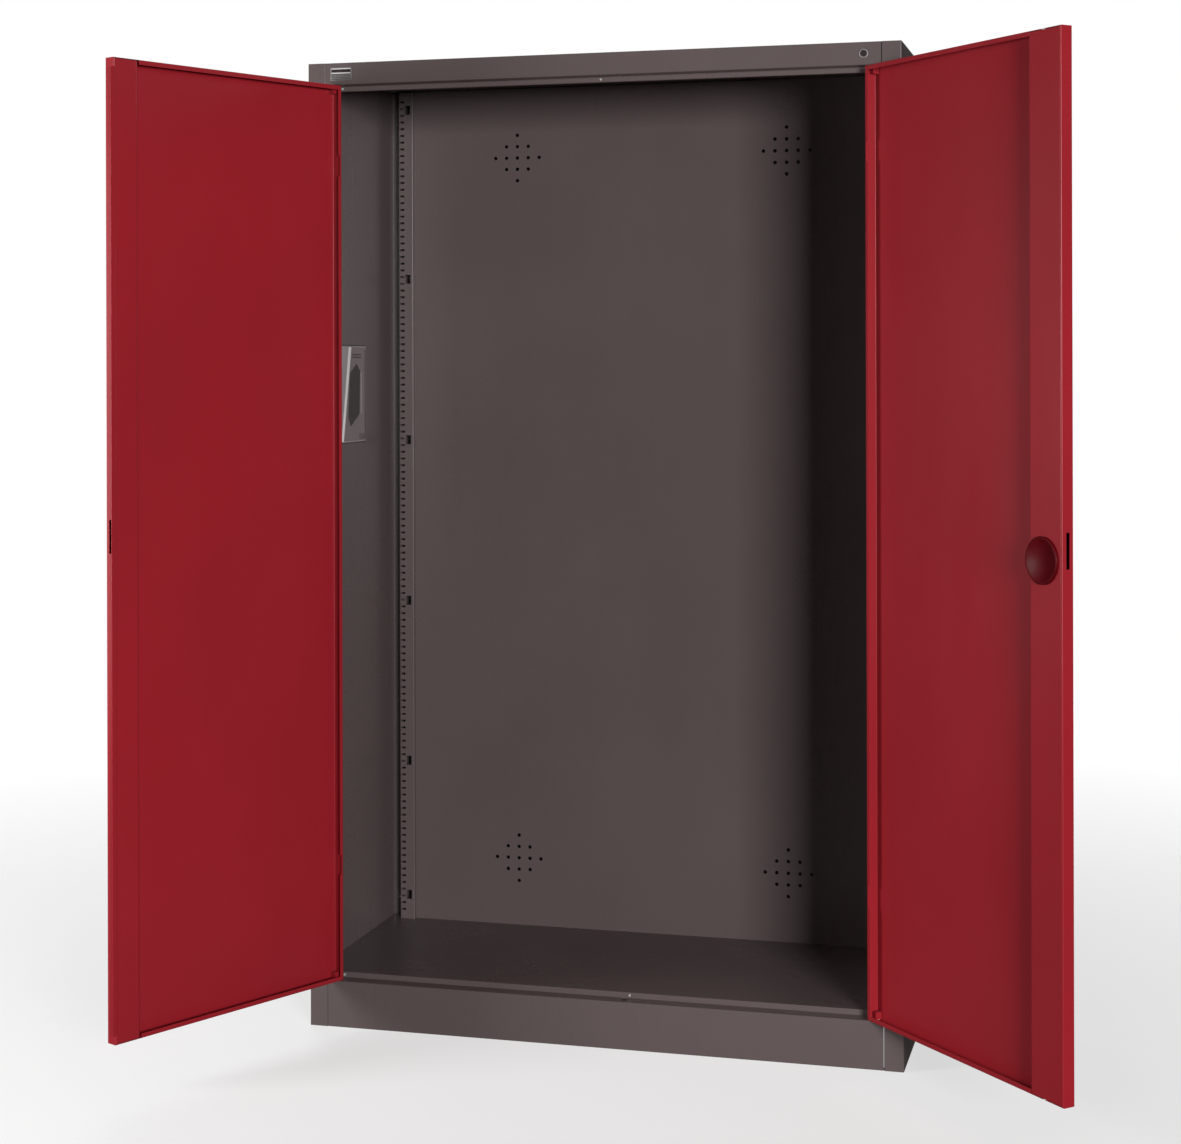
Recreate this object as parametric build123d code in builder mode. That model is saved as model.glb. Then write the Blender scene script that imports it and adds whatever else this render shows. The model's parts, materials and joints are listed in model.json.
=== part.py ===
from build123d import *
from math import acos, cos, pi, radians, sin, tan
import os

# Two-door sheet-steel storage cupboard, in millimetres.
# The origin is the centre of the carcass footprint on the floor; +X right, +Y to the back, +Z up.
# Both doors stand open, which is the rest pose.

os.makedirs("parts", exist_ok=True)

# ---------------------------------------------------------------- driving dimensions
carcass_width = 1200
carcass_depth = 500
carcass_height = 1950
sheet = 1.0             # steel sheet of the carcass and the doors
bend = 2.0              # outside radius of a folded edge
fit_gap = 0.2           # between neighbouring sheets of the carcass
seam = 0.8              # from the posts to the ends of the rail, floor lip and plinth
wall_seam = 1.4         # from the side walls to the edges of the floor

post_width = 37.5       # front faces left and right of the opening
rail_height = 44        # front face above the opening
plinth_height = 93      # front face below the opening
stop_depth = 30         # from the front faces back to the lips that the doors close against
stop_lip = 10.5
hem = 8                 # the lips fold back by this much

door_thickness = 25
door_gap = 1.5          # all round each closed door
door_lip = 9            # return lip round the inside of a door pan
lip_notch_heights = (329, 1742)
hinge_inset = 10.8      # from the post to the axis of the hinge pins
hinge_setback = 5.0     # from the front face back to the axis of the hinge pins
left_door_angle = 116.5
right_door_angle = 133
left_channel_width = 57
left_channel_round = 7  # the step down from the channel to the skin of the left door
right_channel_width = 82

slot_pitch = 15         # raster of the shelf supports
slot_count = 121
first_slot_height = 125
rear_window_heights = (158, 457, 814, 1172, 1530, 1907)

back_y = 225            # front of the back panel
back_half = 545
back_recess = 60        # rear flanges of the side walls, behind the recesses beside the back panel

vent_pitch = 25
vent_radius = 4
vent_centre_x = 300
vent_heights = (251, 1795)

lock_height = 1006
lock_to_free_edge = 49
rod_radius = 4
rack_module = 1.5
pinion_teeth = 12

# ---------------------------------------------------------------- levels and planes that follow
half_width = carcass_width / 2
front = -carcass_depth / 2
back = carcass_depth / 2
stop_y = front + stop_depth
opening_half = half_width - post_width
span_half = opening_half - seam
inner_half = half_width - sheet - fit_gap
rail_z = carcass_height - rail_height
floor_z = plinth_height + stop_lip + 0.5

door_bottom = plinth_height + door_gap
door_top = rail_z - door_gap
door_height = door_top - door_bottom
pin_x = opening_half - hinge_inset
pin_y = front + hinge_setback
hinge_edge = -(hinge_inset - door_gap)      # door edges, along the door from its pin axis
free_edge = pin_x - door_gap
outer_face = -hinge_setback                 # door faces, across the door from its pin axis
inner_face = outer_face + door_thickness
skin_inside = outer_face + sheet

sides = (("left", -1), ("right", 1))


def door_plane(side, angle):
    """Horizontal plane on a door's pin axis; x runs along the door and y towards its inner side."""
    turn = radians(side * angle)
    return Plane(origin=(side * pin_x, pin_y, 0), x_dir=(cos(turn), sin(turn), 0), z_dir=(0, 0, 1))


# A door's own x runs towards its free edge on the left door and away from it on the right door,
# so distances along a door are multiplied by its hand.
doors = {
    "left": (door_plane(-1, left_door_angle), 1, left_channel_width, left_channel_round),
    "right": (door_plane(1, right_door_angle), -1, right_channel_width, bend),
}

# On the lock plane x points to the hinge, y up, and the normal out of the right door's outer face;
# heights along the normal are counted from the pin axis, so the outer face is at hinge_setback.
right_door = doors["right"][0]
lock_along = -(free_edge - lock_to_free_edge)
lock_origin = right_door.from_local_coords((lock_along, 0, lock_height))
lock = Plane(origin=lock_origin, x_dir=right_door.x_dir, z_dir=-right_door.y_dir)


# ---------------------------------------------------------------- helpers
def folded(plane, points, radii, material_side, thickness=sheet):
    """Cross-section of a folded sheet, given by the line of one of its faces."""
    with BuildSketch(plane) as section:
        with BuildLine():
            FilletPolyline(*points, radius=radii)
            offset(amount=thickness, side=material_side)
        make_face()
    return section.sketch


def block(plane, x_range, y_range, z_range):
    """Plain block between two corners, in the coordinates of a plane."""
    with BuildPart() as solid:
        with BuildSketch(plane.offset(z_range[0])):
            with Locations(((x_range[0] + x_range[1]) / 2, (y_range[0] + y_range[1]) / 2)):
                Rectangle(abs(x_range[1] - x_range[0]), abs(y_range[1] - y_range[0]))
        extrude(amount=z_range[1] - z_range[0])
    return solid.part


def tube_section(plane, outer_radius, bore_radius, places=((0, 0),)):
    """Rings, one at each place."""
    with BuildSketch(plane) as rings:
        with Locations(*places):
            Circle(outer_radius)
            Circle(bore_radius, mode=Mode.SUBTRACT)
    return rings.sketch


def save(piece, name):
    """Label a finished piece and write it as its own STEP file."""
    piece.part.label = name
    export_step(piece.part, f"parts/{name}.step")


# ---------------------------------------------------------------- carcass sheets
for name, side in sides:
    inward = Side.LEFT if side < 0 else Side.RIGHT
    wall_line = [
        (side * (half_width - back_recess), back),
        (side * half_width, back),
        (side * half_width, front),
        (side * opening_half, front),
        (side * opening_half, stop_y - bend),
    ]
    lip_line = [
        (side * opening_half, stop_y - hem),
        (side * opening_half, stop_y),
        (side * (opening_half - stop_lip), stop_y),
        (side * (opening_half - stop_lip), stop_y + hem),
    ]
    with BuildPart() as side_panel:
        extrude(folded(Plane.XY, wall_line, [bend, bend, bend], inward), amount=carcass_height)
        lip_plane = Plane.XY.offset(floor_z + fit_gap)
        lip_length = rail_z - stop_lip - floor_z - 2 * fit_gap
        extrude(folded(lip_plane, lip_line, [bend - sheet, bend], inward), amount=lip_length)
    save(side_panel, f"{name}_side_panel")

top_flange = stop_depth - bend
rod_x = pin_x - (free_edge - lock_to_free_edge)
rod_offset = 13.5       # rod axis, across the door from its pin axis
rod_hole_radius = 6
bush_radius = 3.2
pin_places = [(-pin_x, pin_y), (pin_x, pin_y)]
rail_line = [
    (front + top_flange, carcass_height),
    (front, carcass_height),
    (front, rail_z),
    (stop_y, rail_z),
    (stop_y, rail_z - stop_lip),
    (stop_y + hem, rail_z - stop_lip),
]
rail_bends = [bend, bend, bend - sheet, bend]
span_start = Plane.YZ.offset(-span_half)
with BuildPart() as top_front_rail:
    extrude(folded(span_start, rail_line, rail_bends, Side.LEFT), amount=2 * span_half)
    with BuildSketch(Plane.XY.offset(rail_z)):
        with Locations(*pin_places):
            Circle(bush_radius)
        with Locations((rod_x, pin_y + rod_offset)):
            Circle(rod_hole_radius)
    extrude(amount=sheet, mode=Mode.SUBTRACT)
save(top_front_rail, "top_front_rail")

top_side_flange = 20
with BuildPart() as top_panel:
    with BuildSketch(Plane.XY.offset(carcass_height - sheet)):
        RectangleRounded(2 * inner_half, 2 * (back - sheet - fit_gap), bend - sheet)
        with Locations((0, front)):
            Rectangle(2 * (opening_half + bend), 2 * (top_flange + fit_gap), mode=Mode.SUBTRACT)
    extrude(amount=sheet)
    for side in (-1, 1):
        add(
            block(
                Plane.XY,
                (side * inner_half, side * (inner_half - sheet)),
                (stop_y + 5, back - 22),
                (carcass_height - top_side_flange, carcass_height - sheet),
            )
        )
save(top_panel, "top_panel")

floor_back = back_y - fit_gap
floor_flange = 24
floor_edge = half_width - sheet - wall_seam
front_upright_back = -163
rear_upright_front = 213
rear_upright_sides = (539.5, 573)
upright_bottom = floor_z - floor_flange
floor_line = [
    (floor_back, floor_z - floor_flange),
    (floor_back, floor_z),
    (stop_y, floor_z),
    (stop_y, plinth_height + fit_gap),
]
with BuildPart() as floor_panel:
    extrude(folded(span_start, floor_line, [bend, bend], Side.LEFT), amount=2 * span_half)
    wing_start = front_upright_back + 0.4
    wing_end = back - 4
    for side in (-1, 1):
        wing = (side * (span_half - 1), side * floor_edge)
        recess_floor = (side * (rear_upright_sides[1] + 0.4), side * floor_edge)
        flange = (side * (floor_edge - sheet), side * floor_edge)
        add(block(Plane.XY, wing, (wing_start, floor_back - bend), (floor_z - sheet, floor_z)))
        add(block(Plane.XY, recess_floor, (0, wing_end), (floor_z - sheet, floor_z)))
        add(block(Plane.XY, flange, (wing_start, wing_end), (floor_z - floor_flange, floor_z)))
        # The floor is cut out round the foot of the rear upright and behind the side lip.
        foot = (side * (rear_upright_sides[0] - 0.4), side * (rear_upright_sides[1] + 0.4))
        lip = (side * (opening_half - stop_lip - 0.4), side * opening_half)
        cut_depth = (floor_z - floor_flange - 1, floor_z + 1)
        foot_cut = block(Plane.XY, foot, (rear_upright_front - 0.4, back_y), cut_depth)
        add(foot_cut, mode=Mode.SUBTRACT)
        behind_lip = (stop_y + bend - 0.2, stop_y + hem + 0.4)
        lip_cut = block(Plane.XY, lip, behind_lip, (floor_z - bend, floor_z + 1))
        add(lip_cut, mode=Mode.SUBTRACT)
save(floor_panel, "floor_panel")

plinth_line = [
    (stop_y + 15, plinth_height),
    (front, plinth_height),
    (front, 0),
    (front + 18, 0),
]
with BuildPart() as plinth_front:
    extrude(folded(span_start, plinth_line, [bend, bend], Side.LEFT), amount=2 * span_half)
    with BuildSketch(Plane.XY.offset(plinth_height - sheet)):
        with Locations(*pin_places):
            Circle(bush_radius)
        with Locations((rod_x, pin_y + rod_offset)):
            Circle(rod_hole_radius)
    extrude(amount=sheet, mode=Mode.SUBTRACT)
save(plinth_front, "plinth_front")

# A hat section under the middle of the floor carries it down to the ground.
stiffener_half = 20
stiffener_flange = 16
stiffener_top = floor_z - 2 * sheet - fit_gap / 2
stiffener_line = [
    (-stiffener_half - stiffener_flange, stiffener_top),
    (-stiffener_half, stiffener_top),
    (-stiffener_half, 0),
    (stiffener_half, 0),
    (stiffener_half, stiffener_top),
    (stiffener_half + stiffener_flange, stiffener_top),
]
stiffener_back = floor_back - bend
with BuildPart() as floor_stiffener:
    hat_bends = [bend - sheet, bend, bend, bend - sheet]
    hat_section = folded(Plane.XZ.offset(-stiffener_back), stiffener_line, hat_bends, Side.LEFT)
    extrude(hat_section, amount=stiffener_back - (stop_y + 16))
save(floor_stiffener, "floor_stiffener")

# The back panel is a tray; its rim reaches back to the rear flanges of the side walls.
back_top = carcass_height - sheet - fit_gap
tray_depth = (back_y, back - sheet - fit_gap)
vent_steps = [(i, j) for i in range(-2, 3) for j in range(-2, 3) if abs(i) + abs(j) <= 2]
vent_places = [
    (side * vent_centre_x + i * vent_pitch, z + j * vent_pitch)
    for side in (-1, 1)
    for z in vent_heights
    for i, j in vent_steps
]
with BuildPart() as back_panel:
    add(block(Plane.XY, (-back_half, back_half), tray_depth, (0, back_top)))
    fillet(back_panel.faces().sort_by(Axis.Y)[0].edges(), radius=bend)
    offset(amount=-sheet, openings=back_panel.faces().sort_by(Axis.Y)[-1])
    with BuildSketch(Plane.XZ.offset(-back_y)):
        with Locations(*vent_places):
            Circle(vent_radius)
    extrude(amount=-sheet, mode=Mode.SUBTRACT)
save(back_panel, "back_panel")

# ---------------------------------------------------------------- slotted uprights
slot_width = 10
slot_height = 4.5
slots_middle = first_slot_height + slot_pitch * (slot_count - 1) / 2
for name, side in sides:
    toward_post = Side.RIGHT if side < 0 else Side.LEFT
    front_line = [
        (side * (inner_half - 1.5), front_upright_back),
        (side * opening_half, front_upright_back),
        (side * opening_half, stop_y + sheet + fit_gap),
    ]
    with BuildPart() as front_upright:
        front_section = folded(Plane.XY.offset(upright_bottom), front_line, [bend], toward_post)
        extrude(front_section, amount=carcass_height - 1.5 - upright_bottom)
        with BuildSketch(Plane.XZ.offset(-front_upright_back)):
            with Locations((side * 580, slots_middle)):
                with GridLocations(0, slot_pitch, 1, slot_count):
                    Rectangle(slot_width, slot_height)
        extrude(amount=sheet, mode=Mode.SUBTRACT)
    save(front_upright, f"{name}_front_upright")

    toward_back = Side.LEFT if side < 0 else Side.RIGHT
    rear_line = [
        (side * rear_upright_sides[1], back - sheet - fit_gap),
        (side * rear_upright_sides[1], rear_upright_front),
        (side * rear_upright_sides[0], rear_upright_front),
        (side * rear_upright_sides[0], floor_back),
    ]
    with BuildPart() as rear_upright:
        rear_section = folded(Plane.XY.offset(upright_bottom), rear_line, [bend, bend], toward_back)
        extrude(rear_section, amount=carcass_height - 4 - upright_bottom)
        with BuildSketch(Plane.XZ.offset(-(rear_upright_front + sheet))):
            with Locations((side * 565, slots_middle)):
                with GridLocations(0, slot_pitch, 1, slot_count):
                    Rectangle(slot_width, slot_height)
            with Locations(*[(side * 552, z) for z in rear_window_heights]):
                Rectangle(12, 20)
        extrude(amount=sheet, mode=Mode.SUBTRACT)
    save(rear_upright, f"{name}_rear_upright")

# ---------------------------------------------------------------- hinge seats on the carcass
pin_radius = 2.5
pin_clearance = 0.05
plate_thickness = 3
plate_bottoms = (plinth_height - sheet - plate_thickness, rail_z + sheet)
with BuildPart() as hinge_plates:
    for side in (-1, 1):
        for z in plate_bottoms:
            across = (side * (pin_x - 18), side * (opening_half - 0.4))
            add(block(Plane.XY, across, (front + bend, stop_y - bend), (z, z + plate_thickness)))
    with BuildSketch(Plane.XY):
        with Locations(*pin_places):
            Circle(bush_radius)
    extrude(amount=carcass_height, mode=Mode.SUBTRACT)
save(hinge_plates, "hinge_plates")

bush_ranges = ((plinth_height - 4.5, plinth_height + 1.2), (rail_z - 0.8, rail_z + 4.5))
with BuildPart() as hinge_bushes:
    for low, high in bush_ranges:
        bush_end = Plane.XY.offset(low)
        rings = tube_section(bush_end, bush_radius, pin_radius + pin_clearance, pin_places)
        extrude(rings, amount=high - low)
save(hinge_bushes, "hinge_bushes")

buffer_radius = 2.4
buffer_length = 3
upper_lip_z = rail_z - stop_lip / 2
lower_lip_z = floor_z - stop_lip / 2
buffer_places = [
    (-537, upper_lip_z),
    (6, upper_lip_z),
    (537, upper_lip_z),
    (-537, lower_lip_z),
    (60, lower_lip_z),
    (537, lower_lip_z),
]
with BuildPart() as door_buffers:
    with BuildSketch(Plane.XZ.offset(-stop_y)):
        with Locations(*buffer_places):
            Circle(buffer_radius)
    extrude(amount=buffer_length)
    fillet(door_buffers.faces().filter_by(Plane.XZ).group_by(Axis.Y)[0].edges(), radius=1)
save(door_buffers, "door_buffers")

# ---------------------------------------------------------------- plates and card
with BuildPart() as nameplate:
    with BuildSketch(Plane.XZ.offset(-front)):
        with Locations((-529, 1927.5)):
            RectangleRounded(46, 26, 1.5)
    extrude(amount=0.8)
save(nameplate, "nameplate")

with BuildPart() as corner_badge:
    with BuildSketch(Plane.XZ.offset(-front)):
        with Locations((528.5, 1928)):
            Circle(9)
    extrude(amount=1.6)
    fillet(corner_badge.faces().sort_by(Axis.Y)[0].edges(), radius=0.8)
save(corner_badge, "corner_badge")

with BuildPart() as info_card:
    with BuildSketch(Plane.YZ.offset(-half_width + sheet)):
        with Locations((-3, 1277)):
            Rectangle(148, 210)
    extrude(amount=0.8)
save(info_card, "info_card")

# ---------------------------------------------------------------- door pans, channels and hinge pins
slot_low = lock_height - 12
slot_high = lock_height + 49.5
latch_slot = (3.5, 10.5)        # across the door
channel_foot = 9
end_gap = bend - sheet + fit_gap        # keeps fittings clear of the bends inside a pan's ends


def rounded_box(door, hand, margin, radius):
    """Solid of a door's outline less a margin, its two large faces rounded off."""
    along = (hand * (hinge_edge + margin), hand * (free_edge - margin))
    across = (outer_face + margin, inner_face - margin)
    with BuildPart() as solid:
        add(block(door, along, across, (door_bottom + margin, door_top - margin)))
        across_axis = Axis(door.origin, door.y_dir)
        large_faces = solid.faces().sort_by(across_axis)
        fillet(large_faces[0].edges() + large_faces[-1].edges(), radius=radius)
    return solid.part


for name, (door, hand, channel_width, channel_round) in doors.items():
    channel_edge = free_edge - channel_width
    with BuildPart() as door_pan:
        add(rounded_box(door, hand, 0, bend))
        add(rounded_box(door, hand, sheet, bend - sheet), mode=Mode.SUBTRACT)
        window = (inner_face - bend, inner_face + sheet)
        pane = (hand * (hinge_edge + door_lip), hand * channel_edge)
        channel_bay = (hand * (channel_edge - 0.5), hand * (free_edge - sheet))
        add(
            block(door, pane, window, (door_bottom + door_lip, door_top - door_lip)),
            mode=Mode.SUBTRACT,
        )
        add(
            block(door, channel_bay, window, (door_bottom + sheet, door_top - sheet)),
            mode=Mode.SUBTRACT,
        )
        notch = (hand * (hinge_edge + door_lip - 4), hand * (hinge_edge + door_lip + 1))
        for z in lip_notch_heights:
            add(block(door, notch, window, (z - 20, z + 20)), mode=Mode.SUBTRACT)
        edge_cut = (hand * (free_edge - 3), hand * (free_edge + 1))
        add(block(door, edge_cut, latch_slot, (slot_low, slot_high)), mode=Mode.SUBTRACT)
        with BuildSketch(door):
            Circle(pin_radius)
            if name == "right":
                with Locations((lock_along, rod_offset)):
                    Circle(rod_hole_radius)
        extrude(amount=carcass_height, mode=Mode.SUBTRACT)
        if name == "right":
            with BuildSketch(lock.offset(hinge_setback)):
                Circle(11)
                with Locations((0, 22), (0, -22)):
                    Circle(2.1)
            extrude(amount=-sheet, mode=Mode.SUBTRACT)
    save(door_pan, f"{name}_door_pan")

    inside_edge = free_edge - sheet - 0.1
    channel_line = [
        (hand * inside_edge, inner_face - 8),
        (hand * inside_edge, inner_face),
        (hand * channel_edge, inner_face),
        (hand * channel_edge, skin_inside + 0.1),
        (hand * (channel_edge + channel_foot), skin_inside + 0.1),
    ]
    channel_side = Side.LEFT if name == "left" else Side.RIGHT
    with BuildPart() as door_channel:
        channel_plane = door.offset(door_bottom + sheet + end_gap)
        channel_section = folded(channel_plane, channel_line, [bend, channel_round, bend], channel_side)
        extrude(channel_section, amount=door_height - 2 * (sheet + end_gap))
        if name == "right":
            with BuildSketch(lock.offset(-inner_face)):
                Circle(30)
            extrude(amount=sheet, mode=Mode.SUBTRACT)
    save(door_channel, f"{name}_door_channel")

    inset = sheet + end_gap
    bracket_ranges = ((door_bottom + inset, door_bottom + 16), (door_top - 16, door_top - inset))
    with BuildPart() as hinge_brackets:
        for low, high in bracket_ranges:
            along = (hand * (hinge_edge + inset), hand * (pin_radius + 1.7))
            add(block(door, along, (skin_inside, 9), (low, high)))
        with BuildSketch(door):
            Circle(pin_radius)
        extrude(amount=carcass_height, mode=Mode.SUBTRACT)
    save(hinge_brackets, f"{name}_hinge_brackets")

    pin_ranges = ((plinth_height - 4, door_bottom + 16), (door_top - 16, rail_z + 4))
    with BuildPart() as hinge_pins:
        for low, high in pin_ranges:
            with BuildSketch(door.offset(low)):
                Circle(pin_radius)
            extrude(amount=high - low)
    save(hinge_pins, f"{name}_hinge_pins")

# The left door's lap strip reaches behind the right door's free edge.
lap_reach = 8
lap_thickness = 1.5
lap_clearance = 0.9
left_door = doors["left"][0]
lap_outline = [
    (free_edge + lap_reach, inner_face + lap_clearance),
    (free_edge + lap_reach, inner_face + lap_clearance + lap_thickness),
    (free_edge - 1, inner_face + lap_clearance + lap_thickness),
    (free_edge - 3, inner_face + lap_thickness),
    (free_edge - 10, inner_face + lap_thickness),
    (free_edge - 10, inner_face),
    (free_edge - 3, inner_face),
    (free_edge - 1, inner_face + lap_clearance),
]
with BuildPart() as left_door_lap_strip:
    with BuildSketch(left_door.offset(door_bottom + 18)):
        Polygon(*lap_outline, align=None)
    extrude(amount=door_height - 36)
save(left_door_lap_strip, "left_door_lap_strip")

# ---------------------------------------------------------------- lock on the right door
journal_radius = 10
journal_clearance = 0.05
square = 8
square_hole = square + 0.1
escutcheon_thickness = 5
screw_places = [(0, 22), (0, -22)]
case_inside = -skin_inside - 2          # inner side of the lock case's base plate

lock_outer = lock.offset(hinge_setback)
lock_axis = Axis(lock.origin, lock.z_dir)
with BuildPart() as escutcheon:
    extrude(tube_section(lock_outer, 31, 15 + journal_clearance), amount=escutcheon_thickness)
    outer_edges = escutcheon.edges().group_by(lock_axis)[-1]
    fillet(outer_edges.sort_by(SortBy.RADIUS)[-1], radius=2)
    with BuildSketch(lock_outer):
        with Locations(*screw_places):
            Circle(2)
    extrude(amount=3.5, mode=Mode.SUBTRACT)
save(escutcheon, "escutcheon")

with BuildPart() as lock_case:
    with BuildSketch(lock.offset(case_inside)):
        Rectangle(46, 96)
        Circle(journal_radius + journal_clearance, mode=Mode.SUBTRACT)
        with Locations(*screw_places):
            Circle(2.1, mode=Mode.SUBTRACT)
    extrude(amount=2)
    collar = tube_section(lock.offset(-3.5), 14, journal_radius + journal_clearance)
    extrude(collar, amount=case_inside + 3.5)
    # Two walls keep the racks in mesh; each stands clear of the latch arm's sweep.
    for turn in (1, -1):
        add(block(lock, (turn * 18.3, turn * 22.3), (turn * 12, turn * 30), (-16, case_inside)))
save(lock_case, "lock_case")

with BuildPart() as lock_screws:
    with BuildSketch(lock.offset(case_inside)):
        with Locations(*screw_places):
            Circle(2)
    extrude(amount=6.5)
    with BuildSketch(lock.offset(case_inside)):
        with Locations(*screw_places):
            Circle(3.5)
    extrude(amount=-2.5)
save(lock_screws, "lock_screws")

with BuildPart() as spindle:
    with BuildSketch(lock.offset(-4.5)):
        Circle(journal_radius)
    extrude(amount=9.5)
    with BuildSketch(lock.offset(-17)):
        Rectangle(square, square)
    extrude(amount=31)
save(spindle, "spindle")

grip_bottom = 10.6
grip_top = 26.6
with BuildPart() as turn_handle:
    with BuildSketch(lock.offset(grip_bottom)):
        SlotOverall(88, 26, rotation=90)
    extrude(amount=grip_top - grip_bottom, taper=5)
    fillet(turn_handle.faces().sort_by(lock_axis)[-1].edges(), radius=3)
    with BuildSketch(lock.offset(5.4)):
        Circle(15)
    extrude(amount=grip_bottom - 5.4 + 1)
    with BuildSketch(lock.offset(5.4)):
        Rectangle(square_hole, square_hole)
    extrude(amount=9.1, mode=Mode.SUBTRACT)
    with BuildSketch(lock.offset(16)):
        Circle(9)
    extrude(amount=20, mode=Mode.SUBTRACT)
save(turn_handle, "turn_handle")

plug_radius = 6
with BuildPart() as lock_cylinder:
    with BuildSketch(lock.offset(16)):
        Circle(9)
    extrude(amount=grip_top - 16)
    with BuildSketch(lock.offset(grip_top)):
        Circle(10.5)
    extrude(amount=1.2)
    fillet(lock_cylinder.faces().sort_by(lock_axis)[-1].edges(), radius=0.5)
    with BuildSketch(lock.offset(17.5)):
        Circle(plug_radius + journal_clearance)
    extrude(amount=20, mode=Mode.SUBTRACT)
save(lock_cylinder, "lock_cylinder")

with BuildPart() as key_plug:
    with BuildSketch(lock.offset(17.8)):
        Circle(plug_radius)
    extrude(amount=10.2)
    with BuildSketch(lock.offset(23)):
        Rectangle(1.6, 8)
    extrude(amount=6, mode=Mode.SUBTRACT)
save(key_plug, "key_plug")

latch_width = 20
latch_reach = 63
with BuildPart() as latch_arm:
    with BuildSketch(lock.offset(-8.5)):
        Circle(13)
        with Locations((0, (latch_reach - latch_width / 2) / 2)):
            Rectangle(latch_width, latch_reach - latch_width / 2)
        with Locations((0, latch_reach - latch_width / 2)):
            Circle(latch_width / 2)
        Rectangle(square_hole, square_hole, mode=Mode.SUBTRACT)
    extrude(amount=3)
save(latch_arm, "latch_arm")

# ---------------------------------------------------------------- pinion and racks
pitch_radius = rack_module * pinion_teeth / 2
pressure_angle = radians(20)
base_radius = pitch_radius * cos(pressure_angle)
tooth_pitch = pi * rack_module
tooth_thickness = tooth_pitch / 2 - 0.3
tip_radius = pitch_radius + 1.2
root_radius = pitch_radius - 1.7
rack_addendum = 1.0
rack_dedendum = 1.7
rack_back = 18


def involute(angle):
    return tan(angle) - angle


def flank_angle(radius):
    """Half the angle that a pinion tooth spans at a radius."""
    profile_angle = acos(min(1, base_radius / radius))
    return tooth_thickness / (2 * pitch_radius) + involute(pressure_angle) - involute(profile_angle)


def tooth_point(radius, side, centre_angle):
    angle = centre_angle + side * flank_angle(radius)
    return (radius * cos(angle), radius * sin(angle))


flank_radii = [root_radius, base_radius, pitch_radius, (pitch_radius + tip_radius) / 2, tip_radius]
pinion_outline = []
for tooth in range(pinion_teeth):
    centre = 2 * pi * tooth / pinion_teeth
    pinion_outline += [tooth_point(r, -1, centre) for r in flank_radii]
    pinion_outline += [tooth_point(r, 1, centre) for r in reversed(flank_radii)]

with BuildPart() as lock_pinion:
    with BuildSketch(lock.offset(-15.5)):
        Polygon(*pinion_outline, align=None)
        Rectangle(square_hole, square_hole, mode=Mode.SUBTRACT)
    extrude(amount=4)
    with BuildSketch(lock.offset(-11.5)):
        Circle(6.5)
        Rectangle(square_hole, square_hole, mode=Mode.SUBTRACT)
    extrude(amount=2.8)
save(lock_pinion, "lock_pinion")

with BuildPart() as retaining_ring:
    with BuildSketch(lock.offset(-16.7)):
        Circle(7)
        Rectangle(square_hole, square_hole, mode=Mode.SUBTRACT)
    extrude(amount=1)
save(retaining_ring, "retaining_ring")

rack_low = -29
bridge_low = 45
bridge_high = 58
rod_start = 50
rod_retract = 3         # rod tips lie this far inside the door's ends when unlocked


def rack_outline(turn):
    """Toothed bar with a foot that reaches over to the rod's axis; turn is 1 up or -1 down."""
    slope = tan(pressure_angle)
    tip_half = tooth_thickness / 2 - rack_addendum * slope
    root_half = tooth_thickness / 2 + rack_dedendum * slope
    tips_x = pitch_radius - rack_addendum
    roots_x = pitch_radius + rack_dedendum
    outline = [(rack_back, rack_low), (rack_back, bridge_high), (-rod_radius, bridge_high)]
    outline += [(-rod_radius, bridge_low), (roots_x, bridge_low)]
    for step in range(1, -7, -1):
        y = (step + 0.5) * tooth_pitch
        outline += [(roots_x, y + root_half), (tips_x, y + tip_half)]
        outline += [(tips_x, y - tip_half), (roots_x, y - root_half)]
    outline += [(roots_x, rack_low)]
    return [(turn * x, turn * y) for x, y in outline]


rod_ends = {
    "upper": (1, door_top - rod_retract - lock_height),
    "lower": (-1, lock_height - door_bottom - rod_retract),
}
for name, (turn, rod_end) in rod_ends.items():
    with BuildPart() as lock_rod:
        with BuildSketch(lock.offset(-15.5)):
            Polygon(*rack_outline(turn), align=None)
        extrude(amount=4)
        rod_foot = right_door.from_local_coords((lock_along, rod_offset, lock_height + turn * rod_start))
        with BuildSketch(Plane(origin=rod_foot, z_dir=(0, 0, turn))):
            Circle(rod_radius)
        extrude(amount=rod_end - rod_start)
    save(lock_rod, f"{name}_lock_rod")

guide_heights = (door_bottom + 14, 560, 1450, door_top - 26)
guide_half_width = 11
with BuildPart() as rod_guides:
    for z in guide_heights:
        add(
            block(
                right_door,
                (lock_along - guide_half_width, lock_along + guide_half_width),
                (skin_inside, inner_face - sheet - 0.3),
                (z, z + 12),
            )
        )
    with BuildSketch(right_door):
        with Locations((lock_along, rod_offset)):
            Circle(rod_radius + 0.08)
    extrude(amount=carcass_height, mode=Mode.SUBTRACT)
save(rod_guides, "rod_guides")

# Dished cap over the lock's access hole, proud of the channel.
cap_radius = 41
cap_front = inner_face + 5
dish_radius = 37
dish_floor = 18.6
cap_back = 17.4
cap_plug_radius = 29.5
cap_plane = Plane(origin=lock_origin, x_dir=right_door.x_dir, z_dir=(0, 0, 1))
with BuildPart() as lock_cap:
    with BuildSketch(cap_plane):
        with BuildLine():
            Polyline(
                (0, dish_floor),
                (0, cap_back),
                (cap_plug_radius, cap_back),
                (cap_plug_radius, inner_face),
                (cap_radius, inner_face),
                (cap_radius, cap_front - 2),
            )
            RadiusArc((cap_radius, cap_front - 2), (cap_radius - 2, cap_front), -2)
            Line((cap_radius - 2, cap_front), (dish_radius, cap_front))
            TangentArc((0, dish_floor), (dish_radius, cap_front), tangent=(1, 0))
        make_face()
    revolve(axis=Axis(cap_plane.origin, cap_plane.y_dir))
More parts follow.
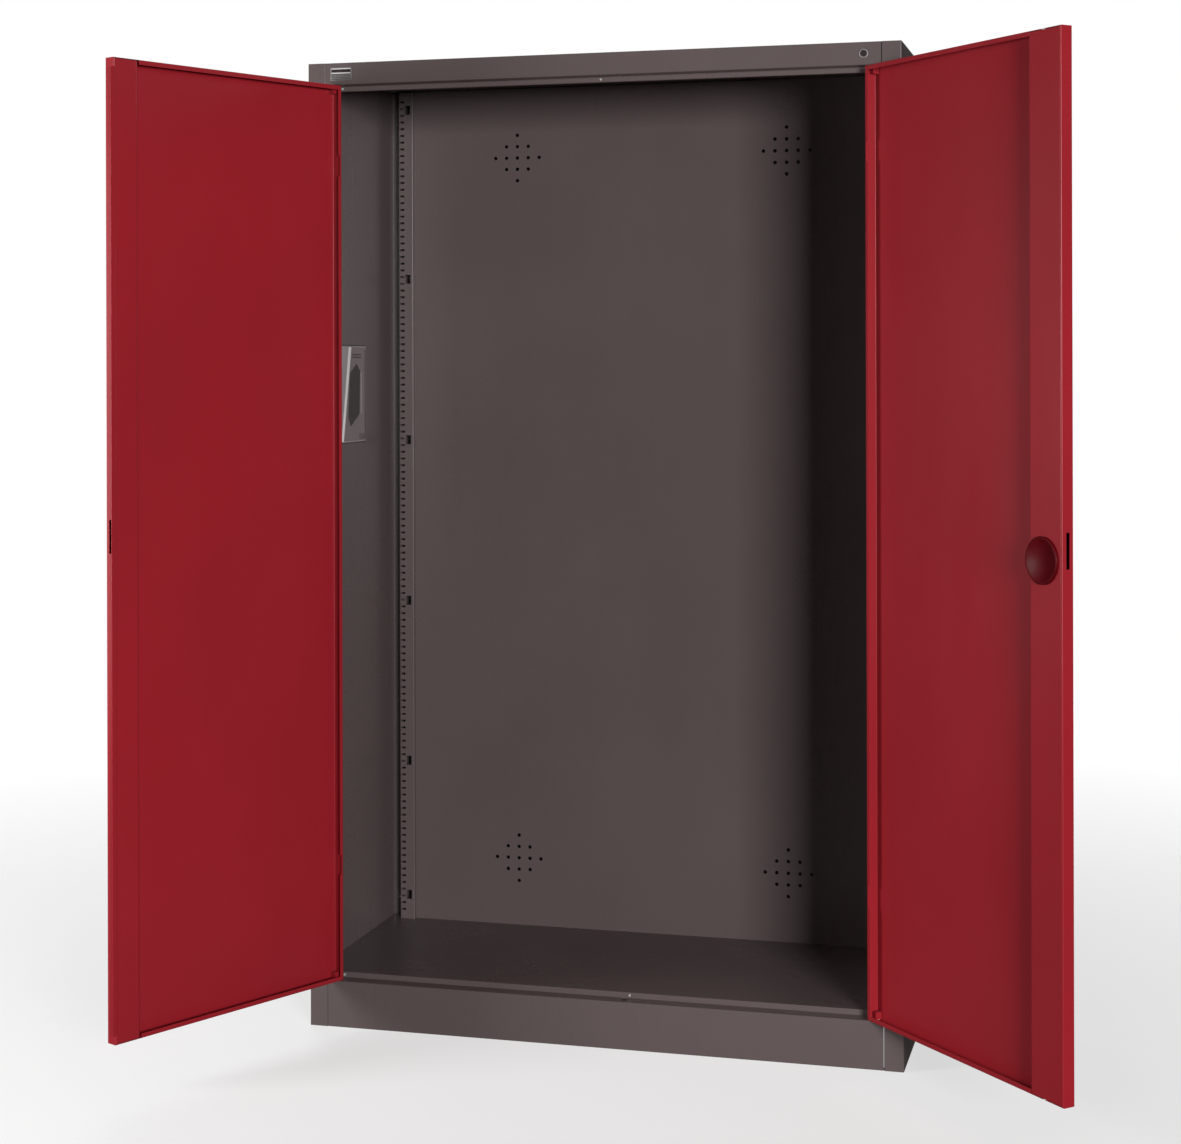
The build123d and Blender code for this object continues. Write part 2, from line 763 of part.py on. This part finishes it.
save(lock_cap, "lock_cap")
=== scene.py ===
import json
import math

import bmesh
import bpy
from mathutils import Matrix, Vector

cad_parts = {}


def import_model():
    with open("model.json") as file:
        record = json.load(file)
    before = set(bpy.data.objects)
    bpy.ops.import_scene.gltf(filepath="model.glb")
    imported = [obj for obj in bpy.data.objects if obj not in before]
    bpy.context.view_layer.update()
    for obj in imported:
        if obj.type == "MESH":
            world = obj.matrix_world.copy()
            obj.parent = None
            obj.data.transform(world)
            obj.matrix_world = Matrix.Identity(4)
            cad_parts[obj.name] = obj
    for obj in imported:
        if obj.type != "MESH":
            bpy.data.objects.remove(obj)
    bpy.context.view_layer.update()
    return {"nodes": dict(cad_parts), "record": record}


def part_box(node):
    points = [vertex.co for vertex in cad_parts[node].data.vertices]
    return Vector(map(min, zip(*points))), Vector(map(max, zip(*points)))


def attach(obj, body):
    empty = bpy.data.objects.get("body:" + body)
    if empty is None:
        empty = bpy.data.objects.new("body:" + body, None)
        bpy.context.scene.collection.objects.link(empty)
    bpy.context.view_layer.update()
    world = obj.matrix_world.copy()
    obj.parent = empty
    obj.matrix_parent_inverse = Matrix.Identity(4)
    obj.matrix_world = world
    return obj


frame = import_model()
nodes = frame["nodes"]
MM = 0.001


# ------------------------------------------------------------------ shader helpers
class Graph:
    """A material's node tree, with short calls for the few nodes used here."""

    def __init__(self, name):
        self.material = bpy.data.materials.new(name)
        self.material.use_nodes = True
        self.tree = self.material.node_tree
        self.shader = self.tree.nodes["Principled BSDF"]
        self.coords = self.tree.nodes.new("ShaderNodeTexCoord").outputs["Object"]

    def node(self, kind, inputs=(), **settings):
        made = self.tree.nodes.new(kind)
        for key, value in settings.items():
            setattr(made, key, value)
        for key, value in dict(inputs).items():
            self.put(made.inputs[key], value)
        return made

    def put(self, socket, value):
        if isinstance(value, bpy.types.NodeSocket):
            self.tree.links.new(value, socket)
        else:
            socket.default_value = value

    def stretched(self, scale):
        """Object coordinates scaled by one factor per axis."""
        return self.node("ShaderNodeMapping", {"Vector": self.coords, "Scale": scale}).outputs["Vector"]

    def noise(self, scale, detail=2.0, rough=0.5, vector=None):
        inputs = {"Scale": scale, "Detail": detail, "Roughness": rough}
        inputs["Vector"] = vector or self.coords
        return self.node("ShaderNodeTexNoise", inputs).outputs["Fac"]

    def spread(self, value, low, high, to_low=0.0, to_high=1.0):
        """Map a value from one range to another, clamped."""
        inputs = {"Value": value, "From Min": low, "From Max": high, "To Min": to_low, "To Max": to_high}
        return self.node("ShaderNodeMapRange", inputs).outputs["Result"]

    def math(self, operation, a, b=0.0):
        return self.node("ShaderNodeMath", {0: a, 1: b}, operation=operation).outputs[0]

    def mix(self, factor, a, b):
        """Blend two colours."""
        made = self.node("ShaderNodeMix", data_type="RGBA")
        for socket, value in zip((made.inputs[0], made.inputs[6], made.inputs[7]), (factor, a, b)):
            self.put(socket, value)
        return made.outputs[2]

    def edges(self, radius):
        """1 on convex and concave edges, 0 on flats."""
        bevel = self.node("ShaderNodeBevel", {"Radius": radius}, samples=4).outputs["Normal"]
        normal = self.node("ShaderNodeNewGeometry").outputs["Normal"]
        dot = self.node("ShaderNodeVectorMath", {0: bevel, 1: normal}, operation="DOT_PRODUCT")
        return self.spread(self.math("SUBTRACT", 1.0, dot.outputs["Value"]), 0.01, 0.22)

    def bump(self, height, distance, strength=1.0, under=None):
        inputs = {"Height": height, "Distance": distance, "Strength": strength}
        if under is not None:
            inputs["Normal"] = under
        return self.node("ShaderNodeBump", inputs).outputs["Normal"]

    def finish(self, colour, roughness, normal, **sockets):
        self.put(self.shader.inputs["Base Color"], colour)
        self.put(self.shader.inputs["Roughness"], roughness)
        self.put(self.shader.inputs["Normal"], normal)
        for name, value in sockets.items():
            self.shader.inputs[name.replace("_", " ")].default_value = value
        return self.material


def rgb(red, green, blue):
    return (red, green, blue, 1.0)


def scaled(colour, factor):
    return rgb(*(channel * factor for channel in colour[:3]))


def powder_coat(name, colour, worn, gloss, level):
    """Powder-coated sheet steel: orange peel, slightly wavy sheet, faint rubbing on the folds."""
    g = Graph(name)
    cloud = g.spread(g.noise(2.3, 3.0), 0.3, 0.7)
    speckle = g.spread(g.noise(420.0, 2.0), 0.35, 0.65)
    tone = g.mix(cloud, scaled(colour, 0.93), scaled(colour, 1.06))
    tone = g.mix(g.math("MULTIPLY", speckle, 0.22), tone, scaled(colour, 0.72))
    scuff = g.spread(g.noise(38.0, 5.0, 0.62), 0.42, 0.66)
    rubbed = g.math("MULTIPLY", g.edges(1.6 * MM), scuff)
    tone = g.mix(g.math("MULTIPLY", rubbed, 0.35), tone, worn)
    smear = g.spread(g.noise(7.0, 4.0, 0.6, g.stretched((1.0, 1.0, 0.25))), 0.3, 0.7, -0.04, 0.05)
    roughness = g.math("ADD", g.math("ADD", smear, gloss), g.math("MULTIPLY", speckle, 0.03))
    panel = g.bump(g.noise(2.6, 1.0), 3.0 * MM, 0.35)
    peel = g.bump(g.noise(330.0, 2.0), 0.06 * MM, 0.5, panel)
    return g.finish(tone, roughness, peel, Specular_IOR_Level=level, Coat_Weight=0.05, Coat_Roughness=0.25)


def zinc_plate(name):
    g = Graph(name)
    drawn = g.noise(60.0, 4.0, 0.6, g.stretched((1.0, 1.0, 14.0)))
    blotch = g.spread(g.noise(45.0, 3.0), 0.3, 0.7)
    tone = g.mix(blotch, rgb(0.50, 0.50, 0.51), rgb(0.64, 0.63, 0.60))
    tone = g.mix(g.math("MULTIPLY", g.edges(0.6 * MM), 0.5), tone, rgb(0.82, 0.82, 0.80))
    roughness = g.math("ADD", g.spread(drawn, 0.3, 0.7, 0.0, 0.16), 0.26)
    return g.finish(tone, roughness, g.bump(drawn, 0.03 * MM, 0.6), Metallic=1.0)


def plastic(name, colour, gloss, grain_scale, grain, subsurface=0.0, level=0.5):
    """Moulded plastic with a fine grain and polished edges; the edges are also lightened in colour as a
    painted sheen.
    """
    g = Graph(name)
    cloud = g.spread(g.noise(24.0, 3.0), 0.3, 0.7)
    tone = g.mix(cloud, scaled(colour, 0.88), scaled(colour, 1.12))
    polish_and_painted_sheen = g.edges(0.8 * MM)
    # edges lightened in colour: painted sheen; the lower edge roughness below is real polish
    tone = g.mix(g.math("MULTIPLY", polish_and_painted_sheen, 0.25), tone, scaled(colour, 1.6))
    roughness = g.math("ADD", g.spread(cloud, 0.0, 1.0, -0.04, 0.04), gloss)
    roughness = g.math("SUBTRACT", roughness, g.math("MULTIPLY", polish_and_painted_sheen, 0.10))
    normal = g.bump(g.noise(grain_scale, 2.0), grain, 0.6)
    return g.finish(tone, roughness, normal, Subsurface_Weight=subsurface, Specular_IOR_Level=level)


def metal(name, colour, gloss, scratch_axis):
    """Turned or polished metal with fine scratches along one direction."""
    g = Graph(name)
    lines = g.noise(260.0, 3.0, 0.6, g.stretched(scratch_axis))
    tone = g.mix(g.spread(g.noise(90.0, 3.0), 0.3, 0.7), scaled(colour, 0.86), scaled(colour, 1.08))
    tone = g.mix(g.math("MULTIPLY", g.edges(0.5 * MM), 0.4), tone, scaled(colour, 1.25))
    roughness = g.math("ADD", g.spread(lines, 0.3, 0.7, -0.03, 0.07), gloss)
    return g.finish(tone, roughness, g.bump(lines, 0.01 * MM, 0.5), Metallic=1.0)


def paper(name, colour, gloss):
    g = Graph(name)
    fibre = g.noise(900.0, 4.0, 0.6, g.stretched((1.0, 2.2, 1.0)))
    cloud = g.spread(g.noise(14.0, 4.0), 0.3, 0.7)
    tone = g.mix(cloud, scaled(colour, 0.86), scaled(colour, 1.04))
    tone = g.mix(g.math("MULTIPLY", g.edges(1.2 * MM), 0.4), tone, scaled(colour, 0.6))
    roughness = g.math("ADD", g.spread(fibre, 0.3, 0.7, -0.05, 0.05), gloss)
    return g.finish(tone, roughness, g.bump(fibre, 0.03 * MM, 0.5))


CARCASS = rgb(0.101, 0.079, 0.077)
RED = rgb(0.285, 0.0125, 0.0200)
# cap colour: dark red, set far darker than the door red partly as painted shade of the lock hole
CAP_RED_AND_PAINTED_SHADE = rgb(0.080, 0.0016, 0.0040)
CARD = rgb(0.185, 0.155, 0.153)
INK = rgb(0.020, 0.013, 0.012)
PALE_INK = rgb(0.310, 0.275, 0.282)
WHITE_INK = rgb(0.82, 0.81, 0.80)

materials = {
    "carcass_paint": powder_coat("carcass_paint", CARCASS, rgb(0.21, 0.185, 0.18), 0.28, 0.35),
    "door_paint": powder_coat("door_paint", RED, rgb(0.42, 0.05, 0.055), 0.34, 0.28),
    # cap colour is partly painted shade of the lock hole
    "cap_plastic": plastic("cap_plastic", CAP_RED_AND_PAINTED_SHADE, 0.38, 380.0, 0.03 * MM, level=0.08),
    "zinc_steel": zinc_plate("zinc_steel"),
    "nylon": plastic("nylon", rgb(0.36, 0.34, 0.31), 0.48, 500.0, 0.03 * MM, 0.15),
    "handle_plastic": plastic("handle_plastic", rgb(0.028, 0.028, 0.030), 0.42, 700.0, 0.08 * MM),
    "lock_chrome": metal("lock_chrome", rgb(0.74, 0.74, 0.74), 0.16, (1.0, 1.0, 6.0)),
    "key_brass": metal("key_brass", rgb(0.66, 0.50, 0.22), 0.26, (1.0, 1.0, 6.0)),
    "plate_metal": metal("plate_metal", rgb(0.30, 0.285, 0.28), 0.46, (0.1, 1.0, 4.0)),
    "card": paper("card", CARD, 0.42),
}
ink = paper("ink", INK, 0.35)
pale_ink = paper("pale_ink", PALE_INK, 0.35)
white_ink = paper("white_ink", WHITE_INK, 0.35)
for part in frame["record"]["subparts"]:
    mesh = nodes[part["node"]].data
    mesh.materials.clear()
    mesh.materials.append(materials[part["material_slot"]])


# ------------------------------------------------------------------ printed and raised details
def on_face(node, side):
    """Places (across, up, out) of a plate's visible face: 0 to 1 across and up, metres outwards."""
    low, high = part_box(node)
    size = high - low
    if side == "+X":
        return lambda u, v, w: Vector((high.x + w, low.y + u * size.y, low.z + v * size.z))
    return lambda u, v, w: Vector((low.x + u * size.x, low.y - w, low.z + v * size.z))


def raised(name, material, place, outlines, height):
    """Thin raised shapes on a face, in one mesh; each top is a little smaller than its foot."""
    mesh = bmesh.new()
    for outline in outlines:
        middle = [sum(axis) / len(outline) for axis in zip(*outline)]
        rings = []
        for out, shrink in ((-0.05 * MM, 0.0), (0.6 * height, 0.0), (height, 0.015)):
            inner = [[c + (m - c) * shrink for c, m in zip(point, middle)] for point in outline]
            rings.append([mesh.verts.new(place(u, v, out)) for u, v in inner])
        for lower, upper in zip(rings, rings[1:]):
            for i, vert in enumerate(lower):
                after = (i + 1) % len(lower)
                mesh.faces.new((vert, lower[after], upper[after], upper[i]))
        mesh.faces.new(rings[-1])
        mesh.faces.new(list(reversed(rings[0])))
    bmesh.ops.recalc_face_normals(mesh, faces=mesh.faces)
    data = bpy.data.meshes.new(name)
    mesh.to_mesh(data)
    mesh.free()
    data.materials.append(material)
    made = bpy.data.objects.new(name, data)
    bpy.context.scene.collection.objects.link(made)
    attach(made, "carcass")
    return made


def bar(left, right, low, high):
    return [(left, low), (right, low), (right, high), (left, high)]


def card_print():
    """A plain pictogram, light bands and blank lines on the card; no lettering."""
    place = on_face("info_card", "+X")
    light_side = [(0.01, 0.02), (0.05, 0.02), (0.34, 0.975), (0.01, 0.975)]
    raised("card_light_side", pale_ink, place, [light_side], 0.10 * MM)
    band = [(0.02, 0.02), (0.10, 0.02), (0.41, 0.98), (0.30, 0.98)]
    raised("card_band", white_ink, place, [band], 0.16 * MM)
    figure = [(0.28, 0.27), (0.38, 0.17), (0.73, 0.295), (0.76, 0.735), (0.62, 0.81), (0.345, 0.715)]
    lines = [bar(0.45, 0.80, v, v + 0.013) for v in (0.868, 0.894)]
    lines += [bar(0.72, 0.92, v, v + 0.008) for v in (0.04, 0.06, 0.08)]
    lines += [bar(0.94, 0.975, 0.04, 0.95), bar(0.0, 1.0, 0.0, 0.010), bar(0.0, 1.0, 0.990, 1.0)]
    raised("card_figure", ink, place, [figure] + lines, 0.16 * MM)
    edge = [bar(0.79, 0.82, 0.30, 0.72), bar(0.10, 0.92, 0.015, 0.024), bar(0.02, 0.97, 0.976, 0.985)]
    raised("card_rules", pale_ink, place, edge, 0.16 * MM)


def plate_print():
    """A dark band and blank lines on the name plate; no lettering."""
    place = on_face("nameplate", "-Y")
    dark = [bar(0.06, 0.94, 0.64, 0.84)]
    dark += [bar(0.06, 0.94, v, v + 0.04) for v in (0.07, 0.20, 0.33, 0.45)]
    raised("plate_lines", ink, place, dark, 0.12 * MM)
    light = [bar(0.06, 0.94, v, v + 0.045) for v in (0.54, 0.88)]
    raised("plate_rules", white_ink, place, light, 0.12 * MM)


def badge_centre():
    """A plain round blank in the badge."""
    place = on_face("corner_badge", "-Y")
    turns = [2 * math.pi * i / 48 for i in range(48)]
    disc = [(0.5 + 0.36 * math.cos(a), 0.5 + 0.36 * math.sin(a)) for a in turns]
    raised("badge_centre", ink, place, [disc], 0.30 * MM)


card_print()
plate_print()
badge_centre()


# ------------------------------------------------------------------ floor, light and camera
def flat_mesh(name, corners):
    mesh = bpy.data.meshes.new(name)
    mesh.from_pydata(corners, [], [tuple(range(len(corners)))])
    made = bpy.data.objects.new(name, mesh)
    bpy.context.scene.collection.objects.link(made)
    return mesh


def floor():
    """Pale floor that fades out into the white studio round it and throws little light back up."""
    radius = 3.4
    fade_start = 1.0
    fade_end = radius - 0.2
    steps = [2 * math.pi * i / 96 for i in range(96)]
    mesh = flat_mesh("studio_floor", [(radius * math.cos(a), radius * math.sin(a), 0.0) for a in steps])
    g = Graph("studio_floor")
    cloud = g.spread(g.noise(1.2, 4.0), 0.3, 0.7)
    pale = g.mix(cloud, rgb(0.80, 0.80, 0.80), rgb(0.84, 0.84, 0.84))
    seen = g.node("ShaderNodeLightPath").outputs["Is Camera Ray"]
    tone = g.mix(seen, rgb(0.10, 0.10, 0.10), pale)
    g.finish(tone, 0.75, g.bump(g.noise(120.0), 0.05 * MM, 0.3))
    lit = g.node("ShaderNodeEmission", {"Color": rgb(1.0, 1.0, 1.0), "Strength": 1.0}).outputs[0]
    lift = g.node("ShaderNodeMixShader", {0: g.math("MULTIPLY", seen, 0.6)})
    g.put(lift.inputs[1], g.shader.outputs[0])
    g.put(lift.inputs[2], lit)
    distance = g.node("ShaderNodeVectorMath", {0: g.coords}, operation="LENGTH").outputs["Value"]
    clear = g.node("ShaderNodeBsdfTransparent").outputs[0]
    fade = g.node("ShaderNodeMixShader", {0: g.spread(distance, fade_start, fade_end)})
    g.put(fade.inputs[1], lift.outputs[0])
    g.put(fade.inputs[2], clear)
    g.put(g.tree.nodes["Material Output"].inputs["Surface"], fade.outputs[0])
    mesh.materials.append(g.material)


def vent_shade_board():
    """Dark board behind the back panel, seen only through its vents as painted shade in the holes; clear
    to light and from behind.
    """
    low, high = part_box("back_panel")
    gap = 1.5 * MM
    inset = 30 * MM
    y = high.y + gap
    corners = [(low.x + inset, y, low.z + inset), (high.x - inset, y, low.z + inset)]
    corners += [(high.x - inset, y, high.z - inset), (low.x + inset, y, high.z - inset)]
    mesh = flat_mesh("vent_shade_board", corners)
    g = Graph("vent_shade_board")
    # near-black colour: painted shade seen through the vent holes
    g.finish(rgb(0.01, 0.01, 0.01), 0.9, g.bump(g.noise(50.0), 0.05 * MM, 0.2))
    clear = g.node("ShaderNodeBsdfTransparent").outputs[0]
    back = g.node("ShaderNodeNewGeometry").outputs["Backfacing"]
    unseen = g.math("SUBTRACT", 1.0, g.node("ShaderNodeLightPath").outputs["Is Camera Ray"])
    pick = g.node("ShaderNodeMixShader", {0: g.math("MAXIMUM", back, unseen)})
    g.put(pick.inputs[1], g.shader.outputs[0])
    g.put(pick.inputs[2], clear)
    g.put(g.tree.nodes["Material Output"].inputs["Surface"], pick.outputs[0])
    mesh.materials.append(g.material)


def area_light(name, place, target, width, height, watts):
    """Rectangular soft light at a place, turned to a target."""
    data = bpy.data.lights.new(name, "AREA")
    data.shape = "RECTANGLE"
    data.size = width
    data.size_y = height
    data.energy = watts
    lamp = bpy.data.objects.new(name, data)
    lamp.location = place
    lamp.rotation_euler = (Vector(target) - Vector(place)).to_track_quat("-Z", "Y").to_euler()
    lamp.visible_camera = False
    bpy.context.scene.collection.objects.link(lamp)


def world():
    """White to the camera, and a weak warm ambient light to everything else."""
    made = bpy.data.worlds.new("studio")
    bpy.context.scene.world = made
    made.use_nodes = True
    tree = made.node_tree
    seen = tree.nodes["Background"]
    seen.inputs["Color"].default_value = rgb(1.0, 1.0, 1.0)
    seen.inputs["Strength"].default_value = 1.0
    ambient = tree.nodes.new("ShaderNodeBackground")
    ambient.inputs["Color"].default_value = rgb(1.0, 0.80, 0.76)
    ambient.inputs["Strength"].default_value = 0.006
    path = tree.nodes.new("ShaderNodeLightPath")
    blend = tree.nodes.new("ShaderNodeMixShader")
    tree.links.new(path.outputs["Is Camera Ray"], blend.inputs[0])
    tree.links.new(ambient.outputs[0], blend.inputs[1])
    tree.links.new(seen.outputs[0], blend.inputs[2])
    tree.links.new(blend.outputs[0], tree.nodes["World Output"].inputs["Surface"])


def level_camera(place, lens, shift_up, turn, roll):
    """Camera that looks level along +Y, turned to the left by some degrees and rolled a little."""
    data = bpy.data.cameras.new("camera")
    data.sensor_width = 36.0
    data.lens = lens
    data.shift_y = shift_up
    made = bpy.data.objects.new("camera", data)
    turned = Matrix.Rotation(math.radians(turn), 4, "Z")
    upright = Matrix.Rotation(math.radians(90.0), 4, "X")
    rolled = Matrix.Rotation(math.radians(roll), 4, "Z")
    made.matrix_world = Matrix.Translation(place) @ turned @ upright @ rolled
    bpy.context.scene.collection.objects.link(made)
    bpy.context.scene.camera = made


floor()
vent_shade_board()
world()
body_centre = (0.0, 0.0, 1.0)
area_light("key", (4.15, -7.05, 1.8), body_centre, 2.1, 1.6, 670)
area_light("side_fill", (-2.6, -2.0, 1.25), (0.7, -0.45, 0.9), 0.8, 1.2, 72)
area_light("back_left", (-2.6, 3.4, 2.6), body_centre, 2.0, 1.6, 60)
area_light("back_right", (4.2, 2.4, 2.6), body_centre, 1.6, 1.6, 30)
area_light("overhead", (0.0, 0.6, 4.4), (0.0, 0.3, 0.0), 3.0, 3.0, 20)
level_camera((1.07515, -4.35890, 1.33888), lens=66.076, shift_up=-0.1757, turn=14.780, roll=-0.1417)
bpy.context.scene.view_settings.view_transform = "Standard"
